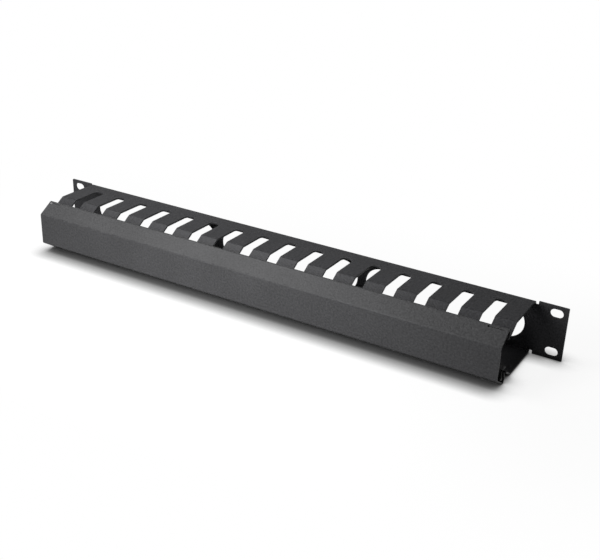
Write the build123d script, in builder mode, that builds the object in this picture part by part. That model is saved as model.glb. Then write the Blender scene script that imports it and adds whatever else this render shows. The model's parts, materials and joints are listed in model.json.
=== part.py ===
from build123d import *
import math
import os

# Horizontal cable manager, one rack unit high: a folded steel chassis and its removable front cover.
# X runs along the rack's width, -Y points out of the rack towards the user, and Z is up.
# The origin is the middle of the four rack slots, on the rear face of the back plate.
# All sizes are in millimetres and degrees.

# Rack panel
PANEL_WIDTH = 482.6
PANEL_HEIGHT = 44.0
EAR_WIDTH = 25.3
EAR_CORNER_RADIUS = 0.8

# Rack slots, with the distances from their centres to the panel's ends and long edges
RACK_SLOT_LENGTH = 10.0
RACK_SLOT_WIDTH = 6.8
RACK_SLOT_END_DISTANCE = 8.75
RACK_SLOT_EDGE_DISTANCE = 6.125

# Chassis sheet and its bends, with the radii inside the bends
CHASSIS_SHEET = 1.5
BACK_BEND_RADIUS = 1.0
FINGER_BEND_RADIUS = 1.5
BEND_RELIEF_WIDTH = 2.2
BEND_RELIEF_CORNER_RADIUS = 0.3

# Cable openings in the back plate, with the steel left between them, past their ends and above them
BACK_OPENING_COUNT = 3
BACK_OPENING_BRIDGE = 7.5
BACK_OPENING_END_RIM = 6.3
BACK_OPENING_LONG_RIM = 8.5

# Fingers, cut in the top and the bottom flange alike
FINGER_COUNT = 17
FINGER_SLOT_WIDTH = 9.5
FLANGE_DEPTH = 42.0
FLANGE_WEB = 13.6
FINGERTIP_LENGTH = 12.0
FINGERTIP_ANGLE = 33.0
FINGERTIP_CORNER_RADIUS = 1.0

# Cover sheet, its outer form and its hooked edges
COVER_SHEET = 1.0
COVER_BEND_RADIUS = 0.8
COVER_FACE_HEIGHT = 27.2
CHAMFER_ANGLE = 32.5
LIP_ANGLE = 49.0
LIP_LENGTH = 4.2
HOOK_ANGLE = 107.0
HOOK_LENGTH = 6.5

# Snap tongues of the cover, which pass under the tips of the end fingers
TONGUE_SIDE_SETBACK = 2.5
TONGUE_REACH = 5.0
TONGUE_SEAT_RADIUS = 1.5
TONGUE_RELIEF_WIDTH = 1.0

# Spring slits in the chamfer beside the tongues, each with a round hole at its left end
SPRING_SLIT_SETBACK = 2.5
SPRING_SLIT_WIDTH = 0.5
SPRING_HOLE_DIAMETER = 1.6

# Clearances between the cover and the fingers
NOSE_GAP = 1.5
TONGUE_CLEARANCE = 0.3


def along(start, angle, length):
    """The point of a section that lies at an angle above straight back, and a length, from another."""
    slope = math.radians(angle)
    return start + Vector(length * math.cos(slope), length * math.sin(slope))


# Lengths that follow from the panel: fingers of equal width fill the body between the ears
rack_slot_spacing_x = PANEL_WIDTH - 2 * RACK_SLOT_END_DISTANCE
rack_slot_spacing_z = PANEL_HEIGHT - 2 * RACK_SLOT_EDGE_DISTANCE
body_length = PANEL_WIDTH - 2 * EAR_WIDTH
slot_pitch = (body_length + FINGER_SLOT_WIDTH) / FINGER_COUNT
finger_width = slot_pitch - FINGER_SLOT_WIDTH
end_finger_x = (body_length - finger_width) / 2
tongue_width = finger_width - 2 * TONGUE_SIDE_SETBACK
opening_pitch = (body_length - 2 * BACK_OPENING_END_RIM + BACK_OPENING_BRIDGE) / BACK_OPENING_COUNT
opening_length = opening_pitch - BACK_OPENING_BRIDGE
opening_height = PANEL_HEIGHT - 2 * BACK_OPENING_LONG_RIM

# Outer face of the upper half of the chassis section: y backwards, z up
panel_top = PANEL_HEIGHT / 2
back_bend = Vector(0, panel_top)
finger_bend = Vector(-FLANGE_DEPTH, panel_top)
fingertip = along(finger_bend, 180 + FINGERTIP_ANGLE, FINGERTIP_LENGTH)
fingertip_inside = along(fingertip, FINGERTIP_ANGLE - 90, CHASSIS_SHEET)
chassis_outline = [Vector(0, 0), back_bend, finger_bend, fingertip]
back_bend_outer = BACK_BEND_RADIUS + CHASSIS_SHEET
finger_bend_outer = FINGER_BEND_RADIUS + CHASSIS_SHEET
bend_relief_depth = back_bend_outer + BEND_RELIEF_CORNER_RADIUS

# Chassis: back plate with two ears, and two flanges cut into fingers
with BuildPart() as chassis:
    # Channel
    with BuildSketch(Plane.YZ):
        with BuildLine():
            FilletPolyline(*chassis_outline, radius=[back_bend_outer, finger_bend_outer])
            offset(amount=CHASSIS_SHEET, side=Side.LEFT)
        make_face()
        mirror(about=Plane.XZ)
    extrude(amount=body_length / 2, both=True)

    # Ears, parted from the flanges by bend reliefs that pass the start of the bend
    with BuildSketch(Plane.XZ):
        Rectangle(PANEL_WIDTH, PANEL_HEIGHT)
        fillet(vertices(), radius=EAR_CORNER_RADIUS)
        Rectangle(body_length, PANEL_HEIGHT, mode=Mode.SUBTRACT)
        relief_size = (BEND_RELIEF_WIDTH, 2 * bend_relief_depth)
        with GridLocations(body_length + BEND_RELIEF_WIDTH, PANEL_HEIGHT, 2, 2):
            RectangleRounded(*relief_size, radius=BEND_RELIEF_CORNER_RADIUS, mode=Mode.SUBTRACT)
    extrude(amount=CHASSIS_SHEET)

    # Rack slots and cable openings
    with BuildSketch(Plane.XZ):
        with GridLocations(rack_slot_spacing_x, rack_slot_spacing_z, 2, 2):
            SlotOverall(RACK_SLOT_LENGTH, RACK_SLOT_WIDTH)
        with GridLocations(opening_pitch, 1, BACK_OPENING_COUNT, 1):
            SlotOverall(opening_length, opening_height)
    extrude(amount=CHASSIS_SHEET, mode=Mode.SUBTRACT)

    # Cable slots between the fingers, open at the tips
    slot_cut_length = FLANGE_DEPTH + FINGERTIP_LENGTH
    with BuildSketch(Plane.XY):
        with Locations((0, -FLANGE_WEB - slot_cut_length / 2)):
            with GridLocations(slot_pitch, 1, FINGER_COUNT - 1, 1):
                SlotOverall(slot_cut_length, FINGER_SLOT_WIDTH, rotation=90)
    extrude(amount=PANEL_HEIGHT, both=True, mode=Mode.SUBTRACT)

    # Rounded corners of the fingertips
    tip_middle = (fingertip + fingertip_inside) * 0.5
    tip_faces = chassis.faces().filter_by(lambda face: abs(face.center().Y - tip_middle.X) < CHASSIS_SHEET / 4)
    tip_corners = tip_faces.edges().filter_by(lambda edge: abs(edge.length - CHASSIS_SHEET) < CHASSIS_SHEET / 4)
    fillet(tip_corners, radius=FINGERTIP_CORNER_RADIUS)
chassis.part.label = "chassis"

# Outer face of the upper half of the cover section, set out from the fingertips
# The rounded rear bend is level with the flange, so its sharp corner stands above it
cover_bend_outer = COVER_BEND_RADIUS + COVER_SHEET
chamfer_slope = math.radians(CHAMFER_ANGLE)
lip_slope = math.radians(LIP_ANGLE)
corner_spread = (math.sin(chamfer_slope) + math.sin(lip_slope)) / math.sin(chamfer_slope + lip_slope)
corner_top = panel_top + cover_bend_outer * (corner_spread - 1)
nose_y = fingertip.X - NOSE_GAP
rear_corner = Vector(nose_y - LIP_LENGTH * math.cos(lip_slope), corner_top)
chamfer_length = (corner_top - COVER_FACE_HEIGHT / 2) / math.sin(chamfer_slope)
front_bend = along(rear_corner, 180 + CHAMFER_ANGLE, chamfer_length)
nose = along(rear_corner, -LIP_ANGLE, LIP_LENGTH)
hook_end = along(nose, -HOOK_ANGLE, HOOK_LENGTH)
cover_outline = [Vector(front_bend.X, 0), front_bend, rear_corner, nose, hook_end]

# Outer face of a snap tongue: from half way down the lip to the nose, down to its seat, then straight back
tongue_root = along(rear_corner, -LIP_ANGLE, LIP_LENGTH / 2)
tongue_top = fingertip_inside.Y - TONGUE_CLEARANCE
tongue_seat = Vector(nose.X, tongue_top)
tongue_end = Vector(fingertip_inside.X + TONGUE_REACH, tongue_top)
tongue_outline = [tongue_root, nose, tongue_seat, tongue_end]

# Gap in the hooked edge around a tongue: all that lies past its root
tongue_gap_width = tongue_width + 2 * TONGUE_RELIEF_WIDTH
gap_top = along(tongue_root, 90 - LIP_ANGLE, COVER_SHEET)
gap_inside = along(tongue_root, -90 - LIP_ANGLE, 2 * COVER_SHEET)
gap_front = Vector(hook_end.X - 2 * COVER_SHEET, gap_inside.Y)
gap_bottom = Vector(gap_front.X, hook_end.Y - COVER_SHEET)
gap_back = Vector(nose.X + COVER_SHEET, gap_bottom.Y)
gap_over = Vector(gap_back.X, gap_top.Y)
gap_outline = [gap_top, gap_inside, gap_front, gap_bottom, gap_back, gap_over]

# Middle of a spring slit's height, on the outer face of the chamfer
slit_middle = along(rear_corner, 180 + CHAMFER_ANGLE, SPRING_SLIT_SETBACK)

# Front cover: folded channel with hooked edges, and a snap tongue with its spring slit at each corner
with BuildPart() as front_cover:
    # Channel
    with BuildSketch(Plane.YZ):
        with BuildLine():
            FilletPolyline(*cover_outline, radius=cover_bend_outer)
            offset(amount=COVER_SHEET, side=Side.RIGHT)
        make_face()
        mirror(about=Plane.XZ)
    extrude(amount=body_length / 2, both=True)

    # Snap tongues, each in a gap of the hooked edge with a relief on either side
    for end_x in (-end_finger_x, end_finger_x):
        with BuildSketch(Plane.YZ.offset(end_x - tongue_gap_width / 2)):
            Polygon(*gap_outline, align=None)
            mirror(about=Plane.XZ)
        extrude(amount=tongue_gap_width, mode=Mode.SUBTRACT)
        with BuildSketch(Plane.YZ.offset(end_x - tongue_width / 2)):
            with BuildLine():
                FilletPolyline(*tongue_outline, radius=[cover_bend_outer, TONGUE_SEAT_RADIUS])
                offset(amount=COVER_SHEET, side=Side.RIGHT)
            make_face()
            mirror(about=Plane.XZ)
        extrude(amount=tongue_width)

        # Spring slits, above and below, from the hole beside a tongue to short of its other side
        for side in (1, -1):
            slit_centre = (end_x - TONGUE_RELIEF_WIDTH, slit_middle.X, side * slit_middle.Y)
            outwards = (0, -math.sin(chamfer_slope), side * math.cos(chamfer_slope))
            with BuildSketch(Plane(origin=slit_centre, x_dir=(1, 0, 0), z_dir=outwards)):
                SlotOverall(tongue_width, SPRING_SLIT_WIDTH)
                with Locations((-tongue_width / 2, 0)):
                    Circle(SPRING_HOLE_DIAMETER / 2)
            extrude(amount=-2 * COVER_SHEET, mode=Mode.SUBTRACT)
front_cover.part.label = "front_cover"

os.makedirs("parts", exist_ok=True)
export_step(chassis.part, "parts/chassis.step")
export_step(front_cover.part, "parts/front_cover.step")
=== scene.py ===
# Horizontal cable manager for a 19-inch rack: its two powder-coated sheets, on a plain pale stage

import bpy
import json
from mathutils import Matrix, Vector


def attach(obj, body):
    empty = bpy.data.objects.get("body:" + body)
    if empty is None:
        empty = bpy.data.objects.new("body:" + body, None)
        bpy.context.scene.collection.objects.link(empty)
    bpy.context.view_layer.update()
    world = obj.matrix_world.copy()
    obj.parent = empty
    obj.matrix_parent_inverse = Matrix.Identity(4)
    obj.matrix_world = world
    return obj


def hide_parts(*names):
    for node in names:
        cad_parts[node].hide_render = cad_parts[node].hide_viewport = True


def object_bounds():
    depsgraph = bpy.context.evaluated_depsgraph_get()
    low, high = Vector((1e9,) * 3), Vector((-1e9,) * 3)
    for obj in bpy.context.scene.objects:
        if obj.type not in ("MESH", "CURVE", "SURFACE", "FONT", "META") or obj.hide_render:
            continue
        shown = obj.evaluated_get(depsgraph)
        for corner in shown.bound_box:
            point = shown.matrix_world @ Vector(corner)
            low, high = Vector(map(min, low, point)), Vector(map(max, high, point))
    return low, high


bl_info = {
    "name": "Horizontal cable manager",
    "version": (1, 0, 0),
    "blender": (4, 5, 0),
    "location": "3D View > Sidebar > Cable manager",
    "description": "Coats the folded chassis and its front cover, and sets a pale stage for them",
    "category": "Object",
}

import json
import math

import bmesh
import bpy
from mathutils import Matrix, Vector

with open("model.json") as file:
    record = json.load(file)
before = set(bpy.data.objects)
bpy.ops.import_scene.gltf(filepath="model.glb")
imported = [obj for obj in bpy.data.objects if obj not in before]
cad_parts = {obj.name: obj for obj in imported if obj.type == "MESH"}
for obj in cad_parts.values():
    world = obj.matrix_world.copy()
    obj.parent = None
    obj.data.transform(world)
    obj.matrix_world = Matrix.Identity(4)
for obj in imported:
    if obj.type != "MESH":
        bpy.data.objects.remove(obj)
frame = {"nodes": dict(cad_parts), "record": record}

MM = 0.001
WHITE = "#ffffff"

# What the record says of each sheet: the body that it moves with
BODY_OF = {node: body for body, nodes in frame["record"]["behaviour"]["bodies"].items() for node in nodes}
OBJECT_LOW, OBJECT_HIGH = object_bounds()


def linear(hex_colour):
    """An sRGB hex colour as the linear red, green, blue and alpha that a shader takes."""
    levels = [int(hex_colour[i:i + 2], 16) / 255 for i in (1, 3, 5)]
    return tuple(c / 12.92 if c <= 0.04045 else ((c + 0.055) / 1.055) ** 2.4 for c in levels) + (1.0,)


def add_node(tree, kind, settings=None, inputs=None, links=None):
    """A shader node with its settings, the values of its inputs, and the sockets that feed its inputs."""
    node = tree.nodes.new(kind)
    for name, value in (settings or {}).items():
        setattr(node, name, value)
    for name, value in (inputs or {}).items():
        node.inputs[name].default_value = value
    for name, socket in (links or {}).items():
        tree.links.new(socket, node.inputs[name])
    return node


def new_material(name):
    """An empty node material and its tree."""
    material = bpy.data.materials.new(name)
    material.use_nodes = True
    material.node_tree.nodes.clear()
    return material, material.node_tree


# Sizes and colours of the coat

class CoatSettings(bpy.types.PropertyGroup):
    """The powder coat on both sheets."""

    # Painted light: the step between these two charcoals, with the cover a shade lighter than the chassis,
    # stands in for the stronger light on the cover's front faces.
    chassis_colour: bpy.props.FloatVectorProperty(
        name="Chassis colour", description="Charcoal of the chassis, from its own batch of powder",
        subtype="COLOR", size=4, min=0, max=1, default=linear("#3c3c3e"))
    cover_colour_with_painted_light: bpy.props.FloatVectorProperty(
        name="Cover colour", description="Charcoal of the front cover, a shade lighter than the chassis",
        subtype="COLOR", size=4, min=0, max=1, default=linear("#464647"))
    thin_share: bpy.props.FloatProperty(
        name="Thin share", description="Brightness of the colour where the coat lies thin",
        subtype="FACTOR", min=0.3, max=1, default=0.6)
    roughness: bpy.props.FloatProperty(
        name="Roughness", description="How matt the cured coat is",
        subtype="FACTOR", min=0, max=1, default=0.45)
    roughness_spread: bpy.props.FloatProperty(
        name="Roughness spread", description="How much smoother the grains are than the dips between them",
        subtype="FACTOR", min=0, max=0.2, default=0.06)
    sheen_level: bpy.props.FloatProperty(
        name="Reflection level", description="How strongly the coat reflects, where 0.5 is a gloss paint",
        subtype="FACTOR", min=0, max=1, default=0.10)
    cloud_share: bpy.props.FloatProperty(
        name="Cloud share", description="How much the clouds count beside the grains, where 1 is as much",
        min=0, max=2, default=0.35)
    cloud_size: bpy.props.FloatProperty(
        name="Cloud size", description="Distance between thin and full places of the coat",
        unit="LENGTH", min=5 * MM, max=200 * MM, default=40 * MM)
    grain_size: bpy.props.FloatProperty(
        name="Grain size", description="Distance between the grains of the textured coat",
        unit="LENGTH", min=0.2 * MM, max=5 * MM, default=1.6 * MM)
    grain_height: bpy.props.FloatProperty(
        name="Grain height", description="Height of the grains of the textured coat",
        unit="LENGTH", min=0, max=0.5 * MM, default=0.22 * MM)
    peel_size: bpy.props.FloatProperty(
        name="Flow size", description="Distance between the soft waves of the melted powder",
        unit="LENGTH", min=1 * MM, max=50 * MM, default=5 * MM)
    peel_height: bpy.props.FloatProperty(
        name="Flow height", description="Height of the soft waves",
        unit="LENGTH", min=0, max=0.5 * MM, default=0.04 * MM)
    chassis_edge_radius: bpy.props.FloatProperty(
        name="Chassis edge radius", description="Radius that the coat leaves on the chassis's cut edges",
        unit="LENGTH", min=0.05 * MM, max=0.45 * MM, default=0.25 * MM)
    cover_edge_radius: bpy.props.FloatProperty(
        name="Cover edge radius", description="Radius on the thinner cover, to suit its narrow slits",
        unit="LENGTH", min=0.05 * MM, max=0.2 * MM, default=0.12 * MM)
    edge_segments: bpy.props.IntProperty(
        name="Edge segments", description="Faces across each rounded edge",
        min=1, max=6, default=3)


# Camera, lamps and floor

class StageSettings(bpy.types.PropertyGroup):
    """The camera at the photograph's angle, the lamps and the pale floor."""

    azimuth: bpy.props.FloatProperty(
        name="Azimuth", description="Camera's turn to the right of straight ahead",
        unit="ROTATION", default=math.radians(30.39))
    elevation: bpy.props.FloatProperty(
        name="Elevation", description="Camera's height above the horizon",
        unit="ROTATION", default=math.radians(25.07))
    roll: bpy.props.FloatProperty(
        name="Roll", description="Camera's turn about its own line of sight",
        unit="ROTATION", default=math.radians(1.96))
    distance: bpy.props.FloatProperty(
        name="Distance", description="From the camera to the point that it looks at",
        unit="LENGTH", min=0.1, default=801.2 * MM)
    target: bpy.props.FloatVectorProperty(
        name="Target", description="The point that the camera looks at",
        subtype="XYZ", unit="LENGTH", size=3, default=(30.47 * MM, -31.14 * MM, 0.35 * MM))
    lens: bpy.props.FloatProperty(
        name="Lens", description="Focal length in millimetres, for a 36 mm sensor",
        min=10, max=200, default=59.27)
    floor_size: bpy.props.FloatProperty(
        name="Floor size", description="Side of the square floor",
        unit="LENGTH", min=1, default=12)
    floor_grey: bpy.props.FloatVectorProperty(
        name="Floor grey", description="The board as it lights the object from below",
        subtype="COLOR", size=4, min=0, max=1, default=linear("#b4b4b8"))
    near_white: bpy.props.FloatProperty(
        name="Near white", description="Share of plain white in the floor beside the object",
        subtype="FACTOR", min=0, max=1, default=0.9)
    shadow_reach: bpy.props.FloatProperty(
        name="Shadow reach", description="How far from the object the floor keeps the shadows of the lamps",
        unit="LENGTH", min=10 * MM, default=200 * MM)
    contact_reach: bpy.props.FloatProperty(
        name="Contact reach", description="How near the object has to be to shade the floor softly",
        unit="LENGTH", min=1 * MM, default=18 * MM)
    contact_depth: bpy.props.FloatProperty(
        name="Contact depth", description="Exponent that darkens the contact shadow",
        min=0.5, max=5, default=2.4)
    top_place: bpy.props.FloatVectorProperty(
        name="Top place", description="Where the softbox above the left end hangs",
        subtype="XYZ", unit="LENGTH", size=3, default=(-0.45, -0.19, 0.80))
    top_side: bpy.props.FloatProperty(
        name="Top side", description="Side of the softbox above the left end",
        unit="LENGTH", min=10 * MM, default=0.4)
    top_power: bpy.props.FloatProperty(
        name="Top power", description="Power of the softbox above the left end, in watts",
        min=0, default=7.5)
    front_place: bpy.props.FloatVectorProperty(
        name="Front place", description="Where the low softbox stands, close before the cover",
        subtype="XYZ", unit="LENGTH", size=3, default=(-0.05, -0.35, 0.14))
    front_side: bpy.props.FloatProperty(
        name="Front side", description="Side of the low softbox before the cover",
        unit="LENGTH", min=10 * MM, default=0.2)
    front_power: bpy.props.FloatProperty(
        name="Front power", description="Power of the low softbox before the cover, in watts",
        min=0, default=1.5)
    sky_level: bpy.props.FloatProperty(
        name="Sky level", description="Even light from all around",
        min=0, default=0.02)
    backdrop_top: bpy.props.FloatProperty(
        name="Backdrop top", description="Height above the horizon where the backdrop starts to fade",
        unit="ROTATION", default=math.radians(14))
    backdrop_fade: bpy.props.FloatProperty(
        name="Backdrop fade", description="Height above the horizon from which the studio is dark",
        unit="ROTATION", default=math.radians(20))


# Finish

def charcoal_powder_coat(name, full_colour, coat):
    """Textured polyester powder coat, baked on steel: matt charcoal grey, and never quite even."""
    material, tree = new_material(name)
    place = add_node(tree, "ShaderNodeTexCoord").outputs["Object"]

    # Grains a little coarser than the true ones, so that they show from a step away
    grain = add_node(tree, "ShaderNodeTexNoise", inputs={"Scale": 1 / coat.grain_size, "Detail": 2.0},
                     links={"Vector": place})

    # The powder lies thin between the grains, and in slow, faint clouds
    clouds = add_node(tree, "ShaderNodeTexNoise", inputs={"Scale": 1 / coat.cloud_size, "Detail": 3.0},
                      links={"Vector": place})
    coverage = add_node(tree, "ShaderNodeMath", {"operation": "MULTIPLY_ADD"}, {1: coat.cloud_share},
                        {0: clouds.outputs["Fac"], 2: grain.outputs["Fac"]})
    noise_mean = 0.5
    noise_swing = 0.22
    even_coverage = noise_mean * (1 + coat.cloud_share)
    coverage_range = {"From Min": even_coverage - noise_swing, "From Max": even_coverage + noise_swing}
    full_share = add_node(tree, "ShaderNodeMapRange", inputs=coverage_range,
                          links={"Value": coverage.outputs[0]})
    thin_colour = [level * coat.thin_share for level in full_colour[:3]] + [1.0]
    colour = add_node(tree, "ShaderNodeMix", {"data_type": "RGBA"}, {6: thin_colour, 7: full_colour},
                      {"Factor": full_share.outputs["Result"]})

    # The gloss differs a little from grain to grain
    gloss_range = {"From Min": 0.3, "From Max": 0.7,
                   "To Min": coat.roughness - coat.roughness_spread,
                   "To Max": coat.roughness + coat.roughness_spread}
    gloss = add_node(tree, "ShaderNodeMapRange", inputs=gloss_range, links={"Value": grain.outputs["Fac"]})

    # Soft waves, where the melted powder flowed out before it set
    peel = add_node(tree, "ShaderNodeTexNoise", inputs={"Scale": 1 / coat.peel_size, "Detail": 1.0},
                    links={"Vector": place})
    waves = add_node(tree, "ShaderNodeBump", inputs={"Strength": 1.0, "Distance": coat.peel_height},
                     links={"Height": peel.outputs["Fac"]})
    relief = add_node(tree, "ShaderNodeBump", inputs={"Strength": 1.0, "Distance": coat.grain_height},
                      links={"Height": grain.outputs["Fac"], "Normal": waves.outputs["Normal"]})

    shader = add_node(tree, "ShaderNodeBsdfPrincipled",
                      inputs={"IOR": 1.5, "Specular IOR Level": coat.sheen_level},
                      links={"Base Color": colour.outputs[2], "Roughness": gloss.outputs["Result"],
                             "Normal": relief.outputs["Normal"]})
    add_node(tree, "ShaderNodeOutputMaterial", links={"Surface": shader.outputs["BSDF"]})
    return material


# The two folded sheets

def coat_sheet(node_name, piece_name, full_colour, edge_radius, coat):
    """A closed copy of a folded sheet in place of its node, with the soft edges that powder coat leaves."""
    merge_distance = 0.001 * MM
    flat_angle = math.radians(0.5)
    cut_edge_angle = math.radians(45)
    sheet = bmesh.new()
    sheet.from_mesh(frame["nodes"][node_name].data)
    bmesh.ops.remove_doubles(sheet, verts=sheet.verts, dist=merge_distance)
    bmesh.ops.dissolve_limit(sheet, angle_limit=flat_angle, verts=sheet.verts, edges=sheet.edges)
    cut_edges = [edge for edge in sheet.edges if edge.calc_face_angle(0) > cut_edge_angle]
    bmesh.ops.bevel(sheet, geom=cut_edges, offset=edge_radius, offset_type="OFFSET", affect="EDGES",
                    segments=coat.edge_segments, profile=0.5, material=-1, clamp_overlap=False)
    for face in sheet.faces:
        face.smooth = True
    mesh = bpy.data.meshes.new(piece_name)
    sheet.to_mesh(mesh)
    sheet.free()
    mesh.materials.append(charcoal_powder_coat(f"charcoal_powder_coat_{node_name}", full_colour, coat))
    piece = bpy.data.objects.new(piece_name, mesh)
    bpy.context.scene.collection.objects.link(piece)
    shading = piece.modifiers.new("Flat faces stay flat", "WEIGHTED_NORMAL")
    shading.weight = 100
    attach(piece, BODY_OF[node_name])
    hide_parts(node_name)
    return piece


class RACK_OT_coat_chassis(bpy.types.Operator):
    """Coats the chassis: the back plate with its ears, and the flanges that are cut into fingers"""

    bl_idname = "rack.coat_chassis"
    bl_label = "Chassis"

    def execute(self, context):
        coat = context.scene.rack_coat
        coat_sheet("chassis", "coated_chassis", coat.chassis_colour, coat.chassis_edge_radius, coat)
        return {"FINISHED"}


class RACK_OT_coat_front_cover(bpy.types.Operator):
    """Coats the front cover: the folded channel with hooked edges and snap tongues"""

    bl_idname = "rack.coat_front_cover"
    bl_label = "Front cover"

    def execute(self, context):
        coat = context.scene.rack_coat
        # The cover's colour carries the painted light step above the chassis's charcoal.
        coat_sheet("front_cover", "coated_front_cover", coat.cover_colour_with_painted_light, coat.cover_edge_radius, coat)
        return {"FINISHED"}


# Stage

def seen_share(tree):
    """1 for what the eye, a reflection or a glass sees, and 0 for what only lights other surfaces."""
    ray = add_node(tree, "ShaderNodeLightPath")
    eye_or_gloss = add_node(tree, "ShaderNodeMath", {"operation": "MAXIMUM"},
                            links={0: ray.outputs["Is Camera Ray"], 1: ray.outputs["Is Glossy Ray"]})
    seen = add_node(tree, "ShaderNodeMath", {"operation": "MAXIMUM"},
                    links={0: eye_or_gloss.outputs[0], 1: ray.outputs["Is Transmission Ray"]})
    return seen.outputs[0]


def pale_floor_finish(stage):
    """Matt board: white to the eye and in reflections, but for the object's shadow close to the object."""
    material, tree = new_material("matt_white_board")
    seen = seen_share(tree)

    # Distance from the object's footprint, which fades its shadow out into plain white
    middle = (OBJECT_LOW + OBJECT_HIGH) / 2
    half = (OBJECT_HIGH - OBJECT_LOW) / 2
    place = add_node(tree, "ShaderNodeTexCoord").outputs["Object"]
    from_middle = add_node(tree, "ShaderNodeVectorMath", {"operation": "SUBTRACT"},
                           {1: (middle.x, middle.y, 0)}, {0: place})
    mirrored = add_node(tree, "ShaderNodeVectorMath", {"operation": "ABSOLUTE"},
                        links={0: from_middle.outputs[0]})
    past_edge = add_node(tree, "ShaderNodeVectorMath", {"operation": "SUBTRACT"}, {1: (half.x, half.y, 0)},
                         {0: mirrored.outputs[0]})
    outside = add_node(tree, "ShaderNodeVectorMath", {"operation": "MAXIMUM"}, {1: (0, 0, 0)},
                       {0: past_edge.outputs[0]})
    flat = add_node(tree, "ShaderNodeVectorMath", {"operation": "MULTIPLY"}, {1: (1, 1, 0)},
                    {0: outside.outputs[0]})
    distance = add_node(tree, "ShaderNodeVectorMath", {"operation": "LENGTH"}, links={0: flat.outputs[0]})
    white_share = add_node(tree, "ShaderNodeMapRange", {"interpolation_type": "SMOOTHSTEP"},
                           {"From Max": stage.shadow_reach, "To Min": stage.near_white, "To Max": 1.0},
                           {"Value": distance.outputs["Value"]})
    share = add_node(tree, "ShaderNodeMath", {"operation": "MULTIPLY"},
                     links={0: seen, 1: white_share.outputs[0]})

    # The light that the board throws back on the object stays grey, whatever the eye sees
    board_colour = add_node(tree, "ShaderNodeMix", {"data_type": "RGBA"},
                            {6: stage.floor_grey, 7: linear(WHITE)}, {"Factor": seen})
    board = add_node(tree, "ShaderNodeBsdfDiffuse", links={"Color": board_colour.outputs[2]})

    # Soft contact shadow: the white dims where the object stands close over the board
    open_share = add_node(tree, "ShaderNodeAmbientOcclusion", {"samples": 16},
                          {"Distance": stage.contact_reach})
    dimmed = add_node(tree, "ShaderNodeMath", {"operation": "POWER"}, {1: stage.contact_depth},
                      {0: open_share.outputs["AO"]})
    white = add_node(tree, "ShaderNodeEmission", inputs={"Color": linear(WHITE)},
                     links={"Strength": dimmed.outputs[0]})
    mixed = add_node(tree, "ShaderNodeMixShader",
                     links={0: share.outputs[0], 1: board.outputs[0], 2: white.outputs[0]})
    add_node(tree, "ShaderNodeOutputMaterial", links={"Surface": mixed.outputs[0]})
    return material


def lay_floor(stage):
    """A large square board, level with the lowest point of the object."""
    board = bmesh.new()
    bmesh.ops.create_grid(board, x_segments=1, y_segments=1, size=stage.floor_size / 2,
                          matrix=Matrix.Translation((0, 0, OBJECT_LOW.z)))
    mesh = bpy.data.meshes.new("floor")
    board.to_mesh(mesh)
    board.free()
    mesh.materials.append(pale_floor_finish(stage))
    floor = bpy.data.objects.new("floor", mesh)
    bpy.context.scene.collection.objects.link(floor)


def hang_softbox(name, place, side, power):
    """A square softbox at a place, turned to the middle of the object and unseen by the camera."""
    lamp = bpy.data.lights.new(name, "AREA")
    lamp.shape = "SQUARE"
    lamp.size = side
    lamp.energy = power
    softbox = bpy.data.objects.new(name, lamp)
    middle = (OBJECT_LOW + OBJECT_HIGH) / 2
    softbox.visible_camera = False
    softbox.location = place
    softbox.rotation_euler = (middle - Vector(place)).to_track_quat("-Z", "Y").to_euler()
    bpy.context.scene.collection.objects.link(softbox)


def light_world(stage):
    """A dark studio, with a white backdrop along the horizon for the eye and for reflections."""
    world = bpy.data.worlds.new("plain sky")
    world.use_nodes = True
    tree = world.node_tree
    tree.nodes.clear()
    direction = add_node(tree, "ShaderNodeSeparateXYZ",
                         links={"Vector": add_node(tree, "ShaderNodeTexCoord").outputs["Generated"]})
    backdrop_range = {"From Min": math.sin(stage.backdrop_top), "From Max": math.sin(stage.backdrop_fade),
                      "To Min": 1.0, "To Max": 0.0}
    backdrop = add_node(tree, "ShaderNodeMapRange", {"interpolation_type": "SMOOTHSTEP"}, backdrop_range,
                        {"Value": direction.outputs["Z"]})
    white_share = add_node(tree, "ShaderNodeMath", {"operation": "MULTIPLY"},
                           links={0: backdrop.outputs[0], 1: seen_share(tree)})
    level = add_node(tree, "ShaderNodeMapRange", inputs={"To Min": stage.sky_level, "To Max": 1.0},
                     links={"Value": white_share.outputs[0]})
    sky = add_node(tree, "ShaderNodeBackground", inputs={"Color": linear(WHITE)},
                   links={"Strength": level.outputs[0]})
    add_node(tree, "ShaderNodeOutputWorld", links={"Surface": sky.outputs[0]})
    bpy.context.scene.world = world


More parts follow.
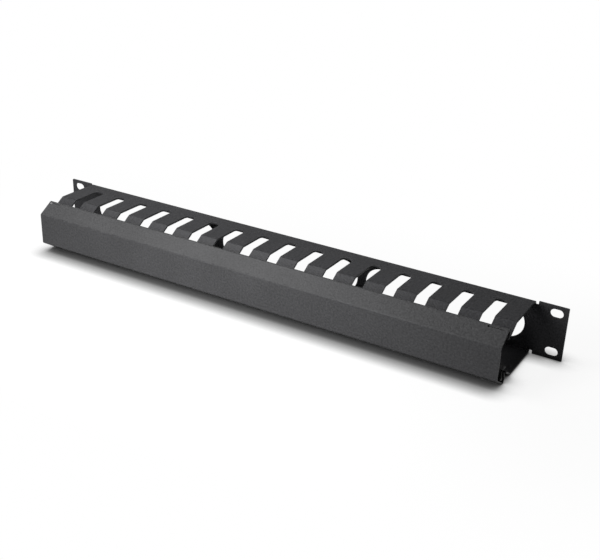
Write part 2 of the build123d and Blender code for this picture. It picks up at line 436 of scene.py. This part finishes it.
def place_camera(stage):
    """The camera, where the photograph was taken from."""
    back = Vector((math.sin(stage.azimuth) * math.cos(stage.elevation),
                   -math.cos(stage.azimuth) * math.cos(stage.elevation),
                   math.sin(stage.elevation)))
    lens = bpy.data.cameras.new("camera")
    lens.lens = stage.lens
    lens.clip_start = 0.01
    lens.clip_end = 100
    camera = bpy.data.objects.new("camera", lens)
    camera.location = Vector(stage.target) + back * stage.distance
    turn = (-back).to_track_quat("-Z", "Y").to_matrix().to_4x4() @ Matrix.Rotation(stage.roll, 4, "Z")
    camera.rotation_euler = turn.to_euler()
    bpy.context.scene.collection.objects.link(camera)
    bpy.context.scene.camera = camera


class RACK_OT_set_stage(bpy.types.Operator):
    """Sets the pale floor, the softboxes, the sky and the camera"""

    bl_idname = "rack.set_stage"
    bl_label = "Stage"

    def execute(self, context):
        stage = context.scene.rack_stage
        lay_floor(stage)
        hang_softbox("top softbox", stage.top_place, stage.top_side, stage.top_power)
        hang_softbox("front softbox", stage.front_place, stage.front_side, stage.front_power)
        light_world(stage)
        place_camera(stage)
        context.scene.view_settings.view_transform = "Standard"
        return {"FINISHED"}


class RACK_PT_cable_manager(bpy.types.Panel):
    """The pieces of the cable manager and their settings"""

    bl_label = "Cable manager"
    bl_space_type = "VIEW_3D"
    bl_region_type = "UI"
    bl_category = "Cable manager"

    def draw(self, context):
        for title, operators, settings in (
            ("Coated sheets", (RACK_OT_coat_chassis, RACK_OT_coat_front_cover), context.scene.rack_coat),
            ("Stage", (RACK_OT_set_stage,), context.scene.rack_stage),
        ):
            box = self.layout.box()
            box.label(text=title)
            for name in settings.__annotations__:
                box.prop(settings, name)
            for operator in operators:
                box.operator(operator.bl_idname)


CLASSES = (
    CoatSettings,
    StageSettings,
    RACK_OT_coat_chassis,
    RACK_OT_coat_front_cover,
    RACK_OT_set_stage,
    RACK_PT_cable_manager,
)


def register():
    for cls in CLASSES:
        bpy.utils.register_class(cls)
    bpy.types.Scene.rack_coat = bpy.props.PointerProperty(type=CoatSettings)
    bpy.types.Scene.rack_stage = bpy.props.PointerProperty(type=StageSettings)


def unregister():
    del bpy.types.Scene.rack_stage
    del bpy.types.Scene.rack_coat
    for cls in reversed(CLASSES):
        bpy.utils.unregister_class(cls)


def main():
    """Makes every piece and the stage."""
    register()
    bpy.ops.rack.coat_chassis()
    bpy.ops.rack.coat_front_cover()
    bpy.ops.rack.set_stage()


if __name__ == "__main__":
    main()
